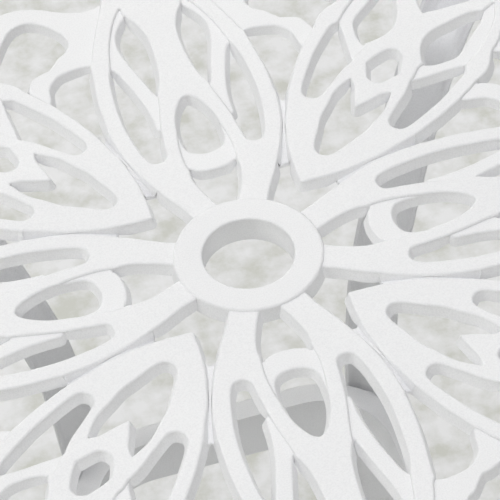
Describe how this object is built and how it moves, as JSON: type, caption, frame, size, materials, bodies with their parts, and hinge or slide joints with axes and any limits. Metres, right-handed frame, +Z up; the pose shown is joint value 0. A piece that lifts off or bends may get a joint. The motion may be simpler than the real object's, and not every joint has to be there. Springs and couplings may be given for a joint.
{
  "type": "umbrella table",
  "caption": "Round white cast-metal patio table with a pierced rosette top, a raised umbrella hole, curved channel legs and a brace hoop.",
  "frame": {"origin": "on the floor, under the middle of the umbrella hole", "axes": "+Z up along the umbrella hole; +X and +Y along two neighbouring petals of the top, with the legs on the diagonals"},
  "size_m": [0.6, 0.6, 0.67],
  "materials": {
    "white_coat": "fine sandy white powder coat on cast aluminium",
    "zinc": "zinc-plated steel",
    "nylon": "moulded nylon"
  },
  "bodies": {
    "frame": {"table_top": "white_coat", "brace_ring": "white_coat", "leg_ne": "white_coat", "top_washer_ne_a": "zinc", "top_bolt_ne_a": "zinc", "top_washer_ne_b": "zinc", "top_bolt_ne_b": "zinc", "brace_washer_ne": "zinc", "brace_bolt_ne": "zinc", "brace_nut_washer_ne": "zinc", "brace_nut_ne": "zinc", "leg_nw": "white_coat", "top_washer_nw_a": "zinc", "top_bolt_nw_a": "zinc", "top_washer_nw_b": "zinc", "top_bolt_nw_b": "zinc", "brace_washer_nw": "zinc", "brace_bolt_nw": "zinc", "brace_nut_washer_nw": "zinc", "brace_nut_nw": "zinc", "leg_sw": "white_coat", "top_washer_sw_a": "zinc", "top_bolt_sw_a": "zinc", "top_washer_sw_b": "zinc", "top_bolt_sw_b": "zinc", "brace_washer_sw": "zinc", "brace_bolt_sw": "zinc", "brace_nut_washer_sw": "zinc", "brace_nut_sw": "zinc", "leg_se": "white_coat", "top_washer_se_a": "zinc", "top_bolt_se_a": "zinc", "top_washer_se_b": "zinc", "top_bolt_se_b": "zinc", "brace_washer_se": "zinc", "brace_bolt_se": "zinc", "brace_nut_washer_se": "zinc", "brace_nut_se": "zinc"},
    "glide_ne": {"glide_ne": "nylon"},
    "glide_nw": {"glide_nw": "nylon"},
    "glide_sw": {"glide_sw": "nylon"},
    "glide_se": {"glide_se": "nylon"}
  },
  "joints": [
    {"name": "glide_ne_screw", "type": "slide", "parent": "frame", "child": "glide_ne", "axis": [0, 0, -1], "range_m": [0, 0.008]},
    {"name": "glide_nw_screw", "type": "slide", "parent": "frame", "child": "glide_nw", "axis": [0, 0, -1], "range_m": [0, 0.008]},
    {"name": "glide_sw_screw", "type": "slide", "parent": "frame", "child": "glide_sw", "axis": [0, 0, -1], "range_m": [0, 0.008]},
    {"name": "glide_se_screw", "type": "slide", "parent": "frame", "child": "glide_se", "axis": [0, 0, -1], "range_m": [0, 0.008]}
  ]
}
